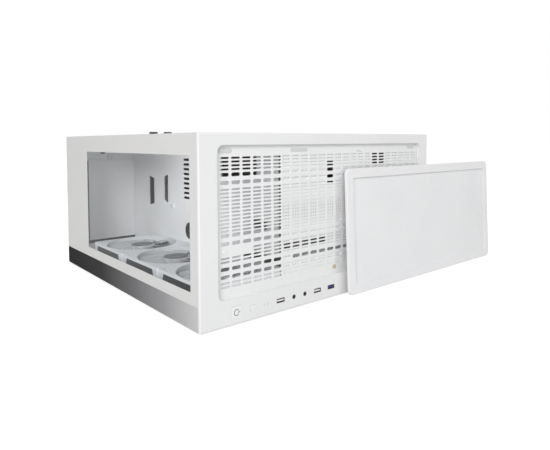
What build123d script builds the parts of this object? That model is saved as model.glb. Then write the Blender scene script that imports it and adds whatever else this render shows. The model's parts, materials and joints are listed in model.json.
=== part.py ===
"""Desktop NAS enclosure: a low white steel box with a glazed left side, a slotted
front with a lift-off dust filter, three floor fans, an inner partition, a drive
cage with lift-out trays, and room for a power supply and a mainboard.

Frame: +Z up, the front faces -Y, and the origin is the centre of the footprint on
the surface that the box stands on. Lengths in the sub-parts are measured from the
front left bottom corner: x to the right, y to the rear, z up. Millimetres.
"""
from build123d import *
import math
import os

os.makedirs("parts", exist_ok=True)

# ---------------------------------------------------------------- driving sizes
case_width = 450.0
case_depth = 476.0
case_height = 236.0

sheet = 1.2                 # steel of the chassis, panels and covers
base_lip = 14.0
intake_rows = 9
intake_pitch = 9.2
intake_slot = 4.6
side_screw_at = (60.0, 238.0, 416.0)
side_screw_radius = 2.9
side_shank_radius = 1.5
seam = 0.3                  # gap that shows between two neighbouring pieces
slip = 0.3                  # gap between pieces that move past each other
foot_height = 2.0
foot_radius = 11.0
foot_inset = 34.0

# front bezel and grille
bezel_depth = 14.0
bezel_edge = 4.0            # full-width front part, with the side panels behind it
bezel_wall = 2.0
bezel_round = 1.6
recess_left = 25.4
recess_width = 403.5
recess_bottom = 33.8
recess_height = 187.4
recess_depth = 5.5
recess_corner = 9.0
grille_lap = 8.0            # how far the grille plate reaches behind the bezel
slot_length = 13.3
slot_pitch = 16.4
slot_columns = 24
slot_first = 32.4           # left end of the first column
small_slot = 2.5
large_slot = 4.8
small_pitch = 4.6
small_groups = ((205.5, 4), (167.2, 12), (92.9, 4), (53.2, 2))   # top row, rows
fan_pattern_mid = 123.0     # height of the middle of the fan mounting rows
fan_140_pitch = 124.5
fan_120_pitch = 105.0
middle_rows = (111.4, 101.3)
solid_columns = 3           # columns that the screw bosses close in two rows
solid_rows = (92.9, 88.3)
grille_screw_spots = ((37.5, 91.0), (412.5, 91.0))
grille_screw_radius = 2.6
notch_spot = (283.0, 209.5)
notch_length = 15.0
notch_width = 1.5
notch_tilt = -11.0
keeper_radius = 3.2
keeper_height = 43.3
plate_spots = ((40.0, 214.5, 19.0, 6.4), (159.0, 213.6, 31.0, 5.0), (410.0, 214.8, 17.0, 5.0))
plate_thick = 0.5

# screen behind the grille, right of the partition
screen_thick = 1.2
screen_rim = 1.8            # strip of the screen left of its first opening
screen_band_right = 212.0
screen_band_height = (81.0, 91.0)
screen_holes = (((214.0, 227.0), (166.0, 197.0)), ((311.0, 342.0), (189.0, 207.5)))
channel_span = (148.0, 265.0)
channel_height = (66.5, 74.5)
channel_depth = 7.0

# controls in the lower front band
control_height = 17.0
power_at = 50.8
power_side = 15.6
reset_at = 75.7
reset_side = 7.6
led_at = (94.2, 100.4)
led_radius = 1.5
usb_at = (121.4, 188.3, 215.2)
usb_width = 13.2
usb_height = 5.7
usb_depth = 14.0
usb_shell = 0.35
jack_at = (144.6, 164.4)
jack_radius = 3.0
jack_bore = 1.8
jack_depth = 13.0
jack_bore_depth = 12.0
button_travel = 1.5
button_proud = 0.8
button_gap = 0.25
button_corner = 1.6
button_flange = 1.6
board_thick = 1.6
board_span = (40.0, 226.0)
board_front = 7.4
board_rear = 26.0
board_post_at = (62.0, 135.0, 204.0)
board_post_radius = 2.5
board_post_from_front = 21.0
switch_size = 6.0
switch_stem = 1.6

# left side
pane_thick = 4.0
print_thick = 0.3
panel_bottom = 31.6
window_front = 21.2
window_rear = 367.0
window_bottom = 46.8
window_top = 209.4
window_corner = 1.5
skirt_thick = 3.0
gasket_width = 5.0
gasket_margin = 1.5
gasket_drop = 5.5           # the gasket and frame stay below the line of sight
gasket_rear_margin = 26.0   # and behind it at the rear end of the window
frame_lip = 0.5             # how far the frame's opening is smaller than the gasket's
stud_radius = 3.0
stud_rows = (30.0, 245.0, 460.0)
stud_top = 222.0
stud_low = 37.0
clip_wall = 2.0
clip_depth = 4.0
side_frame_at = 8.0

# floor fans
fan_count = 3
fan_size = 120.0
fan_thick = 25.0
fan_left = 9.5
shelf_top = 28.6
fan_bore = 57.0             # radius of the duct
fan_lip = 4.0               # white rim above the dark side strips
fan_pillar = 16.5
fan_strip_depth = 1.8
strip_flare = 6.5           # how far each end of the strip's lower edge reaches past the upper one
strip_thick = 1.2
fan_foot = 3.0              # thickness of the arms and of the motor seat
fan_corner = 4.0
arm_count = 4
arm_width = 5.0
arm_start = 45.0
rail_lap = 9.0
hub_radius = 21.0
hub_height = 16.0
blade_count = 9
blade_gap = 1.6
blade_thick = 1.3
blade_tilt = 30.0
blade_chord = 26.0
rotor_lift = 11.5           # from the motor seat up to the middle of the rotor
axle_height = 17.0
axle_radius = 1.5
running_gap = 0.05
fan_hole_radius = 2.15
screw_radius = 1.9
screw_head = 2.0
screw_length = 12.0

# partition between the window chamber and the drive chamber
wall_at = 130.0
slot_a = (383.0, 403.5)     # rear cable slot, from and to
slot_b = (328.0, 342.3)     # front cable slot
slot_a_height = (105.0, 161.2)
slot_b_height = (114.4, 166.4)
slot_chamfer = 4.5
vent_rear = 270.5
vent_length = 34.0
vent_height = 4.2
vent_top = 194.8
vent_pitch = 8.14
vent_rows = 9
grommet_span = (214.0, 260.6)
grommet_height = (63.0, 85.4)
grommet_rim = 3.0
grommet_slit_width = 1.0
pass_span = (62.0, 152.0)
pass_height = (172.0, 208.0)
gap_span = (12.0, 96.0)
gap_height = (57.5, 69.0)
port_span = (40.0, 71.0)
port_height = (103.0, 116.0)
tie_spot = (310.0, 112.0)   # middle of the tie point on the partition, to the rear and up
tie_size = (11.0, 8.0)
tie_reach = 3.0

# rear panel and what it carries
supply_opening = (28.0, 124.0)      # power supply cut-out, x range
supply_height = (37.0, 190.0)
supply_plate_left = 38.6
bracket_lap = 6.0
tab_spot = (82.3, 196.5)
tab_size = (12.0, 9.0)
tab_thick = 3.0
thumb_spot = (65.7, 208.5)
thumb_radius = 5.8
thumb_height = 7.0
flange_inset = 14.0
flange_depth = 28.0
io_left = 196.0
io_width = 158.75
io_height = 44.45
io_bottom = 12.6
card_count = 4
card_pitch = 20.32
card_width = 12.5
card_height = 98.0
card_bottom = 14.0
card_first = 371.0
card_lap = 2.4
card_tab = 10.0
rear_vent_mid = (262.0, 150.0)
rear_vent_count = 11
rear_vent_pitch = 8.0
rear_vent_length = 100.0
side_vent_mid = (238.0, 120.0)
side_vent_columns = 6
side_vent_rows = 8

# drive chamber
bay_count = 5
bay_pitch = 34.0
bay_left = 196.0
bay_front = 32.0
bay_wall_top = 60.0
tray_depth = 154.0
tray_height = 108.0
tray_wall = 1.2
cage_floor = 14.0
backplane_depth = 60.0
socket_from_front = 8.0
socket_size = (7.0, 43.0)
grip_reach = 12.0
grip_length = 40.0
drive_hole_pitch = (44.45, 95.25)
drive_hole_mid = 52.5
drive_hole_radius = 1.75
board_standoff_pitch = (157.48, 154.94)
board_standoff_left = 202.5
board_rear_gap = 12.5       # from the rear panel to the rear pair of standoffs
standoff_radius = 3.0
standoff_bore = 1.25
standoff_height = 6.5

# top cover
cover_lip = 6.0
knob_at = ((166.0, 458.0), (198.0, 458.0))
knob_radius = 8.4
knob_height = 10.0
knob_screw_radius = 2.0
knob_screw_length = 9.0

# dust filter, taken off and leaning on the front
filter_width = 402.0
filter_height = 185.0
filter_thick = 5.0
filter_border = 14.0
filter_mesh_thick = 0.6
filter_round = 1.0
mesh_lap = 3.0
mesh_level = 1.6
filter_left = 242.0
filter_foot = 7.2           # from the front down to where its lower rear edge stands
filter_magnet_radius = 3.0
filter_magnet_thick = 1.5

# ---------------------------------------------------------------- derived sizes
inner_bottom = foot_height + sheet
inner_top = case_height - sheet
rear_face = case_depth - sheet
right_face = case_width - sheet
grille_at = recess_depth
grille_back = grille_at + sheet
frame_front = bezel_depth + seam
panel_front = bezel_edge + seam
rear_inside = rear_face - seam
top_inside = inner_top - seam
return_left = pane_thick + print_thick + seam * 2
return_right = right_face - seam
fan_front = grille_back + slip
rail_under = shelf_top - sheet
fan_top = shelf_top + fan_thick
filter_lean = math.degrees(math.asin((filter_foot - slip) / filter_height))

corner = Vector(-case_width / 2, -case_depth / 2, 0)
CORNER = Plane(origin=corner)


def front_plane(y):
    """Upright plane y behind the front face, facing forwards: x right, y up."""
    return Plane(origin=corner + Vector(0, y, 0), x_dir=(1, 0, 0), z_dir=(0, -1, 0))


def side_plane(x):
    """Upright plane x inside the left face, facing right: x to the rear, y up."""
    return Plane(origin=corner + Vector(x, 0, 0), x_dir=(0, 1, 0), z_dir=(1, 0, 0))


def level_plane(z):
    """Level plane at height z, facing up: x right, y to the rear."""
    return Plane(origin=corner + Vector(0, 0, z))


def cuboid(xs, ys, zs, mode=Mode.ADD):
    """A box that fills the three ranges, in the open part's own plane."""
    middle = ((xs[0] + xs[1]) / 2, (ys[0] + ys[1]) / 2, (zs[0] + zs[1]) / 2)
    with Locations(middle):
        Box(xs[1] - xs[0], ys[1] - ys[0], zs[1] - zs[0], mode=mode)


def window(xs, ys, mode=Mode.ADD):
    """A rectangle that fills the two ranges, in the open sketch."""
    with Locations(((xs[0] + xs[1]) / 2, (ys[0] + ys[1]) / 2)):
        Rectangle(xs[1] - xs[0], ys[1] - ys[0], mode=mode)


def save(piece, name):
    """Label the piece and write its file."""
    piece.label = name
    export_step(piece, f"parts/{name}.step")


# ---------------------------------------------------------------- base and feet
tray_left = skirt_thick + seam
screw_level = inner_bottom + base_lip / 2
with BuildPart(CORNER) as base_tray:
    cuboid((tray_left, return_right), (frame_front, rear_inside), (foot_height, inner_bottom))
    cuboid((return_right - sheet, return_right), (frame_front, rear_inside),
           (foot_height, inner_bottom + base_lip))
    cuboid((tray_left, tray_left + sheet), (frame_front, rear_inside), (foot_height, rail_under))
    with BuildSketch(level_plane(foot_height)) as intake:
        for fan in range(fan_count):
            with Locations((fan_left + fan_size / 2, frame_front + fan_size * (fan + 1 / 2))):
                with GridLocations(0, intake_pitch, 1, intake_rows):
                    SlotOverall(fan_size - fan_pillar * 2, intake_slot)
    extrude(amount=sheet, mode=Mode.SUBTRACT)
    with Locations(*[(return_right - sheet / 2, y, screw_level) for y in side_screw_at]):
        Cylinder(side_shank_radius, sheet * 2, rotation=(0, 90, 0), mode=Mode.SUBTRACT)
save(base_tray.part, "base_tray")

foot_xs = (foot_inset, case_width - foot_inset)
foot_ys = (foot_inset, case_depth - foot_inset)
foot_spots = [(x, y) for x in foot_xs for y in foot_ys]
with BuildPart(CORNER) as feet:
    with Locations(*foot_spots):
        Cylinder(foot_radius, foot_height, align=(Align.CENTER, Align.CENTER, Align.MIN))
    chamfer(feet.faces().group_by(Axis.Z)[0].edges(), foot_height / 4)
save(feet.part, "feet")

# ---------------------------------------------------------------- front bezel
recess_mid = (recess_left + recess_width / 2, recess_bottom + recess_height / 2)
with BuildPart(CORNER) as front_bezel:
    cuboid((0, case_width), (0, bezel_edge), (foot_height, case_height))
    fillet(front_bezel.faces().sort_by(Axis.Y)[0].edges(), bezel_round)
    cuboid((return_left, return_right), (bezel_edge, bezel_depth), (foot_height, top_inside))
    cuboid((return_left + bezel_wall, return_right - bezel_wall), (bezel_wall, bezel_depth),
           (foot_height + bezel_wall, top_inside - bezel_wall), mode=Mode.SUBTRACT)
    with BuildSketch(front_plane(bezel_wall)) as recess_rim:
        with Locations(recess_mid):
            RectangleRounded(recess_width + bezel_wall * 2, recess_height + bezel_wall * 2,
                             recess_corner + bezel_wall)
    extrude(amount=bezel_wall - recess_depth)
    with BuildSketch(front_plane(0)) as recess:
        with Locations(recess_mid):
            RectangleRounded(recess_width, recess_height, recess_corner)
    extrude(amount=-recess_depth, mode=Mode.SUBTRACT)
    with BuildSketch(front_plane(0)) as control_holes:
        with Locations((power_at, control_height)):
            RectangleRounded(power_side + button_gap * 2, power_side + button_gap * 2, button_corner)
        with Locations((reset_at, control_height)):
            RectangleRounded(reset_side + button_gap * 2, reset_side + button_gap * 2, button_corner)
        with Locations(*[(x, control_height) for x in led_at]):
            Circle(led_radius + button_gap / 2)
        with Locations(*[(x, control_height) for x in usb_at]):
            Rectangle(usb_width + button_gap * 2, usb_height + button_gap * 2)
        with Locations(*[(x, control_height) for x in jack_at]):
            Circle(jack_radius + button_gap / 2)
    extrude(amount=-bezel_wall, mode=Mode.SUBTRACT)
save(front_bezel.part, "front_bezel")

# ---------------------------------------------------------------- front grille
large_rows = [fan_pattern_mid + pitch / 2 for pitch in (fan_140_pitch, fan_120_pitch)]
large_rows += [fan_pattern_mid - pitch / 2 for pitch in (fan_140_pitch, fan_120_pitch)]
large_rows += list(middle_rows)
column_mids = [slot_first + slot_length / 2 + slot_pitch * column for column in range(slot_columns)]
small_rows = [top - small_pitch * row for top, rows in small_groups for row in range(rows)]
closed_mids = column_mids[:solid_columns] + column_mids[-solid_columns:]


def slot_open(x, z):
    """Whether the grille has a small slot here, clear of the screw bosses."""
    near_boss = min(abs(z - row) for row in solid_rows) < small_pitch / 2
    return not (near_boss and x in closed_mids)


def slot_outlines(spots, length, width, tilt=0):
    """The outlines of equal slots, one for each spot."""
    outline = SlotOverall(length, width, rotation=tilt).wire()
    return [outline.moved(Location((x, z, 0))) for x, z in spots]


small_spots = [(x, z) for x in column_mids for z in small_rows if slot_open(x, z)]
large_spots = [(x, z) for x in column_mids for z in large_rows]
grille_slots = slot_outlines(small_spots, slot_length, small_slot)
grille_slots += slot_outlines(large_spots, slot_length, large_slot)
grille_slots += slot_outlines([notch_spot], notch_length, notch_width, notch_tilt)
grille_rim = RectangleRounded(recess_width + grille_lap * 2, recess_height + grille_lap * 2, recess_corner)
grille_face = Face(grille_rim.wire().moved(Location((*recess_mid, 0))), grille_slots)

with BuildPart() as front_grille:
    extrude(front_plane(grille_at) * grille_face, amount=-sheet)
save(front_grille.part, "front_grille")

with BuildPart() as grille_screws:
    with BuildSketch(front_plane(grille_at)) as screw_heads:
        with Locations(*grille_screw_spots):
            Circle(grille_screw_radius)
    extrude(amount=sheet)
    chamfer(grille_screws.faces().group_by(Axis.Y)[0].edges(), sheet / 3)
save(grille_screws.part, "grille_screws")

with BuildPart() as filter_keeper:
    with BuildSketch(front_plane(grille_at)) as keeper_disc:
        with Locations((recess_left + recess_width / 2, keeper_height)):
            Circle(keeper_radius)
    extrude(amount=sheet / 2)
save(filter_keeper.part, "filter_keeper")

with BuildPart() as blank_plates:
    with BuildSketch(front_plane(grille_at)) as plate_faces:
        for x, z, width, height in plate_spots:
            with Locations((x, z)):
                SlotOverall(width, height)
    extrude(amount=plate_thick)
save(blank_plates.part, "blank_plates")

screen_left = wall_at + sheet + slip
screen_back = grille_back + screen_thick
with BuildPart(CORNER) as grille_screen:
    with BuildSketch(front_plane(grille_back)) as screen_outline:
        window((screen_left, recess_left + recess_width), (recess_bottom, recess_bottom + recess_height))
        window((screen_left + screen_rim, screen_band_right), screen_band_height, mode=Mode.SUBTRACT)
        for xs, zs in screen_holes:
            window(xs, zs, mode=Mode.SUBTRACT)
    extrude(amount=-screen_thick)
    cuboid((channel_span[0] - screen_thick, channel_span[1] + screen_thick),
           (screen_back, screen_back + channel_depth),
           (channel_height[0] - screen_thick, channel_height[1] + screen_thick))
    cuboid(channel_span, (grille_back, screen_back + channel_depth - screen_thick), channel_height,
           mode=Mode.SUBTRACT)
save(grille_screen.part, "grille_screen")

# ---------------------------------------------------------------- ports and controls
board_top = control_height - usb_height / 2
board_under = board_top - board_thick
with BuildPart(CORNER) as io_board:
    cuboid(board_span, (board_front, board_rear), (board_under, board_top))
save(io_board.part, "io_board")

with BuildPart(CORNER) as io_posts:
    for x in board_post_at:
        with Locations((x, board_post_from_front, inner_bottom)):
            Cylinder(board_post_radius, board_under - inner_bottom,
                     align=(Align.CENTER, Align.CENTER, Align.MIN))
save(io_posts.part, "io_posts")

port_front = seam
with BuildPart(CORNER) as usb_shells:
    for x in usb_at:
        half = usb_width / 2
        level = (board_top, board_top + usb_height)
        cuboid((x - half, x + half), (port_front, usb_depth), level)
        cuboid((x - half + usb_shell, x + half - usb_shell), (port_front, usb_depth - usb_shell),
               (level[0] + usb_shell, level[1] - usb_shell), mode=Mode.SUBTRACT)
save(usb_shells.part, "usb_shells")


def usb_tongue(x):
    """The contact blade inside one port."""
    half = usb_width / 2 - usb_shell * 3
    thick = usb_height / 6
    cuboid((x - half, x + half), (port_front + usb_shell, usb_depth - usb_shell),
           (control_height - thick, control_height + thick))


with BuildPart(CORNER) as usb2_tongues:
    for x in usb_at[:-1]:
        usb_tongue(x)
save(usb2_tongues.part, "usb2_tongues")

with BuildPart(CORNER) as usb3_tongue:
    usb_tongue(usb_at[-1])
save(usb3_tongue.part, "usb3_tongue")

with BuildPart(CORNER) as audio_jacks:
    for x in jack_at:
        with Locations((x, (port_front + board_front) / 2, control_height)):
            Cylinder(jack_radius, board_front - port_front, rotation=(90, 0, 0))
        cuboid((x - jack_radius, x + jack_radius), (board_front, port_front + jack_depth),
               (board_top, control_height + jack_radius))
    for x in jack_at:
        with Locations((x, port_front + jack_bore_depth / 2, control_height)):
            Cylinder(jack_bore, jack_bore_depth, rotation=(90, 0, 0), mode=Mode.SUBTRACT)
save(audio_jacks.part, "audio_jacks")

with BuildPart(CORNER) as led_lenses:
    for x in led_at:
        with Locations((x, board_front / 2 + led_radius, control_height)):
            Cylinder(led_radius, board_front + led_radius * 2, rotation=(90, 0, 0))
        cuboid((x - led_radius / 2, x + led_radius / 2), (board_front, board_front + led_radius * 2),
               (board_top, control_height))
save(led_lenses.part, "led_lenses")

button_back = bezel_wall + slip + button_flange + button_travel
buttons = (("power", power_at, power_side), ("reset", reset_at, reset_side))
with BuildPart(CORNER) as switches:
    for name, x, side in buttons:
        cuboid((x - switch_size / 2, x + switch_size / 2),
               (button_back + slip + switch_stem, board_front + switch_size),
               (board_top, control_height + switch_size / 2))
        with Locations((x, button_back + slip + switch_stem / 2, control_height)):
            Cylinder(switch_stem, switch_stem, rotation=(90, 0, 0))
save(switches.part, "switches")

for name, x, side in buttons:
    with BuildPart(CORNER) as button:
        with BuildSketch(front_plane(-button_proud)) as cap:
            with Locations((x, control_height)):
                RectangleRounded(side, side, button_corner - button_gap)
        extrude(amount=-(button_proud + bezel_wall + slip + button_flange))
        fillet(button.faces().sort_by(Axis.Y)[0].edges(), button_gap)
        half = side / 2 + button_flange
        cuboid((x - half, x + half), (bezel_wall + slip, bezel_wall + slip + button_flange),
               (control_height - half, control_height + half))
    save(button.part, f"{name}_button")

# ---------------------------------------------------------------- glazed left side
panel_span = (panel_front, rear_inside)
panel_rise = (panel_bottom, case_height - seam)
window_mid = ((window_front + window_rear) / 2, (window_bottom + window_top) / 2)
window_size = (window_rear - window_front, window_top - window_bottom)
with BuildPart(CORNER) as glass_border:
    cuboid((0, print_thick), panel_span, panel_rise)
    with BuildSketch(side_plane(0)) as clear_area:
        with Locations(window_mid):
            RectangleRounded(*window_size, window_corner)
    extrude(amount=print_thick, mode=Mode.SUBTRACT)
save(glass_border.part, "glass_border")

pane_back = print_thick + pane_thick
with BuildPart(CORNER) as glass_pane:
    cuboid((print_thick, pane_back), panel_span, panel_rise)
save(glass_pane.part, "glass_pane")

gasket_front = pane_back + slip
gasket_back = side_frame_at - slip
ring_ys = (window_front - gasket_margin, window_rear + gasket_rear_margin)
ring_zs = (window_bottom - gasket_drop, window_top + gasket_margin)
with BuildPart(CORNER) as pane_gasket:
    with BuildSketch(side_plane(gasket_front)) as gasket_ring:
        window((ring_ys[0] - gasket_width, ring_ys[1] + gasket_width),
               (ring_zs[0] - gasket_width, ring_zs[1] + gasket_width))
        window(ring_ys, ring_zs, mode=Mode.SUBTRACT)
    extrude(amount=gasket_back - gasket_front)
save(pane_gasket.part, "pane_gasket")

stud_spots = [(y, stud_top) for y in stud_rows] + [(stud_rows[-1], stud_low)]
with BuildPart(CORNER) as side_frame:
    with BuildSketch(side_plane(side_frame_at)) as frame_ring:
        window((frame_front, rear_inside), (shelf_top, top_inside))
        window((ring_ys[0] + frame_lip, ring_ys[1] - frame_lip),
               (ring_zs[0], ring_zs[1] - frame_lip), mode=Mode.SUBTRACT)
        with Locations(*stud_spots):
            Circle(stud_radius + slip, mode=Mode.SUBTRACT)
    extrude(amount=sheet)
save(side_frame.part, "side_frame")

clip_end = side_frame_at + sheet + clip_depth
with BuildPart(CORNER) as pane_studs:
    with BuildSketch(side_plane(pane_back)) as stud_shanks:
        with Locations(*stud_spots):
            Circle(stud_radius)
    extrude(amount=clip_end - pane_back)
    chamfer(pane_studs.faces().group_by(Axis.X)[-1].edges(), stud_radius / 3)
save(pane_studs.part, "pane_studs")

with BuildPart(CORNER) as stud_clips:
    with BuildSketch(side_plane(side_frame_at + sheet)) as clip_rings:
        with Locations(*stud_spots):
            Circle(stud_radius + clip_wall)
        with Locations(*stud_spots):
            Circle(stud_radius + running_gap, mode=Mode.SUBTRACT)
    extrude(amount=clip_depth)
save(stud_clips.part, "stud_clips")

with BuildPart(CORNER) as intake_skirt:
    cuboid((0, skirt_thick), panel_span, (foot_height, panel_bottom - seam))
save(intake_skirt.part, "intake_skirt")

# ---------------------------------------------------------------- floor fans
fan_right = fan_left + fan_size
fan_mids = [(fan_left + fan_size / 2, fan_front + fan_size * (fan + 1 / 2)) for fan in range(fan_count)]
fan_row_end = fan_front + fan_size * fan_count
rail_width = (fan_size - fan_120_pitch) / 2 + rail_lap
inside_bezel = return_left + bezel_wall + seam
rails = (("left", tray_left, fan_left + rail_width), ("right", fan_right - rail_width, wall_at - seam))
for side, left, right in rails:
    with BuildPart(CORNER) as fan_rail:
        cuboid((left, right), (frame_front, fan_row_end), (rail_under, shelf_top))
        cuboid((max(left, inside_bezel), right), (fan_front, frame_front), (rail_under, shelf_top))
        for mid in fan_mids:
            with BuildSketch(level_plane(rail_under)) as rail_holes:
                with Locations(mid):
                    with GridLocations(fan_120_pitch, fan_120_pitch, 2, 2):
                        Circle(fan_hole_radius)
                    Circle(fan_bore)
            extrude(amount=sheet, mode=Mode.SUBTRACT)
    save(fan_rail.part, f"fan_rail_{side}")

strip_level = (shelf_top + fan_foot, fan_top - fan_lip)
strip_half = fan_size / 2 - fan_pillar


def strip_outline(y):
    """The long face of one side strip, with its lower edge longer than its upper edge."""
    low_half = strip_half + strip_flare
    Polygon((y - low_half, strip_level[0]), (y + low_half, strip_level[0]),
            (y + strip_half, strip_level[1]), (y - strip_half, strip_level[1]), align=None)


for number, (x, y) in enumerate(fan_mids, start=1):
    with BuildPart(CORNER) as fan_frame:
        with BuildSketch(level_plane(shelf_top)) as fan_outline:
            with Locations((x, y)):
                RectangleRounded(fan_size - seam, fan_size - seam, fan_corner)
                Circle(fan_bore, mode=Mode.SUBTRACT)
                with GridLocations(fan_120_pitch, fan_120_pitch, 2, 2):
                    Circle(fan_hole_radius, mode=Mode.SUBTRACT)
        extrude(amount=fan_thick)
        for edge in (x - fan_size / 2, x + fan_size / 2):
            with BuildSketch(side_plane(edge - fan_strip_depth)) as strip_pocket:
                strip_outline(y)
            extrude(amount=fan_strip_depth * 2, mode=Mode.SUBTRACT)
        with Locations((x, y, shelf_top)):
            Cylinder(hub_radius, fan_foot, align=(Align.CENTER, Align.CENTER, Align.MIN))
            Cylinder(axle_radius, fan_foot + axle_height, align=(Align.CENTER, Align.CENTER, Align.MIN))
        with BuildSketch(level_plane(shelf_top)) as fan_arms:
            with Locations((x, y)):
                with PolarLocations((hub_radius + fan_bore) / 2, arm_count, start_angle=arm_start):
                    Rectangle(fan_bore - hub_radius + arm_width, arm_width)
        extrude(amount=fan_foot)
    save(fan_frame.part, f"fan_frame_{number}")

    rotor_base = shelf_top + fan_foot + rotor_lift
    with BuildPart(Plane(origin=corner + Vector(x, y, rotor_base))) as fan_rotor:
        with PolarLocations((hub_radius + fan_bore) / 2, blade_count):
            Box(fan_bore - hub_radius + hub_radius / 2, blade_chord, blade_thick, rotation=(blade_tilt, 0, 0),
                align=(Align.CENTER, Align.CENTER, Align.CENTER))
        with Locations((0, 0, 0)):
            Cylinder(fan_bore - blade_gap, blade_chord, mode=Mode.INTERSECT)
            Cylinder(hub_radius, hub_height, align=(Align.CENTER, Align.CENTER, Align.CENTER))
            Cylinder(axle_radius + running_gap, hub_height, mode=Mode.SUBTRACT)
    save(fan_rotor.part, f"fan_rotor_{number}")

with BuildPart(CORNER) as fan_strips:
    for x, y in fan_mids:
        inner_faces = ((x - fan_size / 2 + fan_strip_depth, -1), (x + fan_size / 2 - fan_strip_depth, 1))
        for inner, outward in inner_faces:
            with BuildSketch(side_plane(inner)) as strip_face:
                strip_outline(y)
            extrude(amount=strip_thick * outward)
save(fan_strips.part, "fan_strips")

with BuildPart(CORNER) as fan_screws:
    for x, y in fan_mids:
        with Locations((x, y, 0)):
            with GridLocations(fan_120_pitch, fan_120_pitch, 2, 2):
                with Locations((0, 0, rail_under - screw_head)):
                    Cylinder(screw_radius * 2, screw_head, align=(Align.CENTER, Align.CENTER, Align.MIN))
                    Cylinder(screw_radius, screw_length, align=(Align.CENTER, Align.CENTER, Align.MIN))
save(fan_screws.part, "fan_screws")

# ---------------------------------------------------------------- partition and grommet
wall_top = top_inside - sheet - seam


def cable_slot(span, heights, long_side):
    """A slot with one long upright side, its ends sloping towards the other side."""
    short_side = span[0] if long_side == span[1] else span[1]
    Polygon((long_side, heights[0]), (long_side, heights[1]), (short_side, heights[1] - slot_chamfer),
            (short_side, heights[0] + slot_chamfer), align=None, mode=Mode.SUBTRACT)


grommet_mid = (sum(grommet_span) / 2, sum(grommet_height) / 2)
grommet_size = (grommet_span[1] - grommet_span[0], grommet_height[1] - grommet_height[0])
with BuildPart(CORNER) as inner_wall:
    with BuildSketch(side_plane(wall_at)) as wall_outline:
        window((frame_front, rear_inside), (inner_bottom, wall_top))
        window((frame_front, board_rear + slip), (board_under - slip, board_top + slip), mode=Mode.SUBTRACT)
        window((frame_front, frame_front + slip * 2 + sheet), (inner_top - cover_lip - slip, wall_top),
               mode=Mode.SUBTRACT)
        cable_slot(slot_a, slot_a_height, slot_a[1])
        cable_slot(slot_b, slot_b_height, slot_b[0])
        for row in range(vent_rows):
            with Locations((vent_rear - vent_length / 2, vent_top - vent_pitch * row)):
                SlotOverall(vent_length, vent_height, mode=Mode.SUBTRACT)
        with Locations(grommet_mid):
            SlotOverall(*grommet_size, mode=Mode.SUBTRACT)
        window(pass_span, pass_height, mode=Mode.SUBTRACT)
        window(gap_span, gap_height, mode=Mode.SUBTRACT)
        window(port_span, port_height, mode=Mode.SUBTRACT)
    extrude(amount=sheet)
save(inner_wall.part, "inner_wall")

with BuildPart(CORNER) as tie_point:
    with BuildSketch(side_plane(wall_at)) as tie_face:
        with Locations(tie_spot):
            Rectangle(*tie_size)
            Circle(screw_radius, mode=Mode.SUBTRACT)
    extrude(amount=-tie_reach)
save(tie_point.part, "tie_point")

with BuildPart(CORNER) as grommet:
    with BuildSketch(side_plane(wall_at)) as grommet_flange:
        with Locations(grommet_mid):
            SlotOverall(grommet_size[0] + grommet_rim * 2, grommet_size[1] + grommet_rim * 2)
    extrude(amount=-sheet)
    with BuildSketch(side_plane(wall_at)) as grommet_core:
        with Locations(grommet_mid):
            SlotOverall(grommet_size[0] - seam, grommet_size[1] - seam)
    extrude(amount=sheet)
    with BuildSketch(side_plane(wall_at - sheet)) as grommet_slit:
        with Locations(grommet_mid):
            SlotOverall(grommet_size[0] - grommet_rim * 2, grommet_slit_width)
    extrude(amount=sheet * 2, mode=Mode.SUBTRACT)
save(grommet.part, "grommet")

# ---------------------------------------------------------------- rear panel
card_mids = [card_first + card_pitch * card for card in range(card_count)]
card_level = card_bottom + card_height / 2
flange_level = (top_inside - sheet, top_inside)
thumb_at = (thumb_spot[0], rear_face, thumb_spot[1])
with BuildPart(CORNER) as rear_panel:
    with BuildSketch(front_plane(rear_face)) as rear_outline:
        window((0, case_width), (foot_height, top_inside))
        window(supply_opening, supply_height, mode=Mode.SUBTRACT)
        window((io_left, io_left + io_width), (io_bottom, io_bottom + io_height), mode=Mode.SUBTRACT)
        with Locations(*[(x, card_level) for x in card_mids]):
            Rectangle(card_width, card_height, mode=Mode.SUBTRACT)
        with Locations(rear_vent_mid):
            with GridLocations(0, rear_vent_pitch, 1, rear_vent_count):
                SlotOverall(rear_vent_length, vent_height, mode=Mode.SUBTRACT)
        with Locations(thumb_spot):
            Circle(screw_radius + running_gap, mode=Mode.SUBTRACT)
    extrude(amount=-sheet)
    cuboid((flange_inset, case_width - flange_inset), (rear_face - flange_depth, rear_face), flange_level)
    with Locations(*[(x, y, flange_level[0]) for x, y in knob_at]):
        Cylinder(knob_screw_radius + running_gap, sheet, align=(Align.CENTER, Align.CENTER, Align.MIN),
                 mode=Mode.SUBTRACT)
save(rear_panel.part, "rear_panel")

bracket_front = rear_face - sheet
with BuildPart(CORNER) as supply_bracket:
    with BuildSketch(front_plane(bracket_front)) as bracket_outline:
        window((supply_opening[0] - bracket_lap, wall_at - seam),
               (supply_height[0] - bracket_lap, supply_height[1]))
        window((supply_plate_left + bracket_lap, supply_opening[1] - bracket_lap),
               (supply_height[0] + bracket_lap, supply_height[1] - bracket_lap), mode=Mode.SUBTRACT)
    extrude(amount=-sheet)
save(supply_bracket.part, "supply_bracket")

with BuildPart(CORNER) as supply_plate:
    cuboid((supply_plate_left, wall_at - seam), (bracket_front - sheet, bracket_front), supply_height)
save(supply_plate.part, "supply_plate")

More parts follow.
